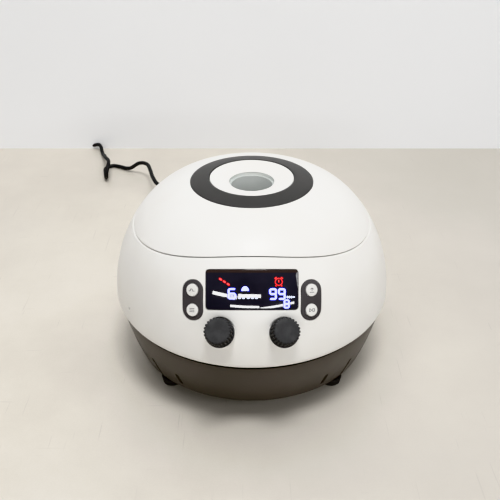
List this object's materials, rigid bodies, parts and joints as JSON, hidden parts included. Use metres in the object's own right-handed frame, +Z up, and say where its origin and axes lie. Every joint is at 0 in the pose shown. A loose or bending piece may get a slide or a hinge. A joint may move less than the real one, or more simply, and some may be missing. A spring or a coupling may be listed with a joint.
{
  "type": "high-speed microcentrifuge",
  "caption": "Bench microcentrifuge with a domed rear-hinged lid, sight glass, fixed-angle rotor, sloping console with display, buttons and knobs, and its supply lead and adapter.",
  "frame": {"origin": "on the rotor axis, in the plane that the four feet stand on", "axes": "+Z up along the rotor axis, -Y towards the console and the user, +X to the user's right"},
  "size_m": [0.4085, 0.768, 0.1591],
  "materials": {
    "white_shell": "satin moulded white plastic",
    "dark_shell": "fine textured dark grey plastic",
    "dark_trim": "satin dark grey plastic",
    "pad_plastic": "matt dark grey overlay",
    "button_plastic": "matt white plastic",
    "foot_rubber": "matt black rubber",
    "knob_rubber": "soft-touch dark grey",
    "display_glass": "dark polished window",
    "clear_window": "clear polished plastic window",
    "rotor_aluminium": "hard anodised aluminium",
    "steel": "brushed stainless steel",
    "motor_can": "black painted motor can",
    "board": "green circuit board",
    "black_plastic": "matt black plastic",
    "lead_sheath": "matt black flexible sheath"
  },
  "bodies": {
    "housing": {"base_bowl": "dark_shell", "base_plate": "steel", "foot_front_left": "foot_rubber", "foot_front_right": "foot_rubber", "foot_rear_left": "foot_rubber", "foot_rear_right": "foot_rubber", "foot_screw_front_left": "steel", "foot_screw_front_right": "steel", "foot_screw_rear_left": "steel", "foot_screw_rear_right": "steel", "upper_shell": "white_shell", "chamber_bowl": "steel", "chamber_gasket": "foot_rubber", "inlet_jack": "black_plastic", "rocker_frame": "black_plastic", "power_board": "board", "motor_damper_1": "foot_rubber", "motor_damper_2": "foot_rubber", "motor_damper_3": "foot_rubber", "motor_plate": "steel", "motor_body": "motor_can", "hinge_bracket_left": "white_shell", "hinge_bracket_right": "white_shell", "hinge_pin": "steel", "latch_frame": "steel", "latch_solenoid": "black_plastic", "display_window": "display_glass", "display_module": "board", "control_board": "board", "button_pad_left": "pad_plastic", "button_pad_right": "pad_plastic", "button_board_left": "board", "button_board_right": "board", "encoder_left": "steel", "encoder_right": "steel", "lead_plug": "black_plastic", "lead": "lead_sheath", "lead_coil": "lead_sheath", "lead_tail": "lead_sheath", "adapter": "black_plastic"},
    "drive_rotor": {"motor_shaft": "steel", "rotor": "rotor_aluminium", "rotor_nut": "black_plastic"},
    "lid": {"lid_shell": "white_shell", "lid_liner": "white_shell", "lid_ring": "dark_trim", "lid_dish": "white_shell", "sight_glass": "clear_window", "lid_striker": "steel", "hinge_arm": "white_shell"},
    "left_knob": {"knob_left": "knob_rubber", "encoder_shaft_left": "steel"},
    "right_knob": {"knob_right": "knob_rubber", "encoder_shaft_right": "steel"},
    "left_upper_button": {"button_left_upper": "button_plastic"},
    "left_lower_button": {"button_left_lower": "button_plastic"},
    "right_upper_button": {"button_right_upper": "button_plastic"},
    "right_lower_button": {"button_right_lower": "button_plastic"},
    "rocker": {"power_rocker": "black_plastic"},
    "bolt": {"latch_bolt": "steel"}
  },
  "joints": [
    {"name": "lid_hinge", "type": "hinge", "parent": "housing", "child": "lid", "pos_m": [0, 0.11423, 0.1224], "axis": [-1, 0, 0], "range_deg": [0, 85]},
    {"name": "rotor_spin", "type": "hinge", "parent": "housing", "child": "drive_rotor", "pos_m": [0, 0, 0.07], "axis": [0, 0, 1], "continuous": true},
    {"name": "left_knob_turn", "type": "hinge", "parent": "housing", "child": "left_knob", "pos_m": [-0.0223, -0.11181, 0.08889], "axis": [-0.1045, -0.7154, 0.6909], "continuous": true},
    {"name": "right_knob_turn", "type": "hinge", "parent": "housing", "child": "right_knob", "pos_m": [0.0223, -0.11181, 0.08889], "axis": [0.1045, -0.7154, 0.6909], "continuous": true},
    {"name": "left_upper_button_press", "type": "slide", "parent": "housing", "child": "left_upper_button", "axis": [0.3781, 0.824, -0.4219], "range_m": [0, 0.0007], "stiffness_N_per_m": 2000},
    {"name": "left_lower_button_press", "type": "slide", "parent": "housing", "child": "left_lower_button", "axis": [0.3781, 0.824, -0.4219], "range_m": [0, 0.0007], "stiffness_N_per_m": 2000},
    {"name": "right_upper_button_press", "type": "slide", "parent": "housing", "child": "right_upper_button", "axis": [-0.3781, 0.824, -0.4219], "range_m": [0, 0.0007], "stiffness_N_per_m": 2000},
    {"name": "right_lower_button_press", "type": "slide", "parent": "housing", "child": "right_lower_button", "axis": [-0.3781, 0.824, -0.4219], "range_m": [0, 0.0007], "stiffness_N_per_m": 2000},
    {"name": "rocker_tilt", "type": "hinge", "parent": "housing", "child": "rocker", "pos_m": [0.014, 0.1001, 0.0325], "axis": [-1, 0, 0], "range_deg": [0, 14]},
    {"name": "bolt_slide", "type": "slide", "parent": "housing", "child": "bolt", "axis": [0, 1, 0], "range_m": [0, 0.006], "stiffness_N_per_m": 150, "springref_m": -0.002}
  ]
}
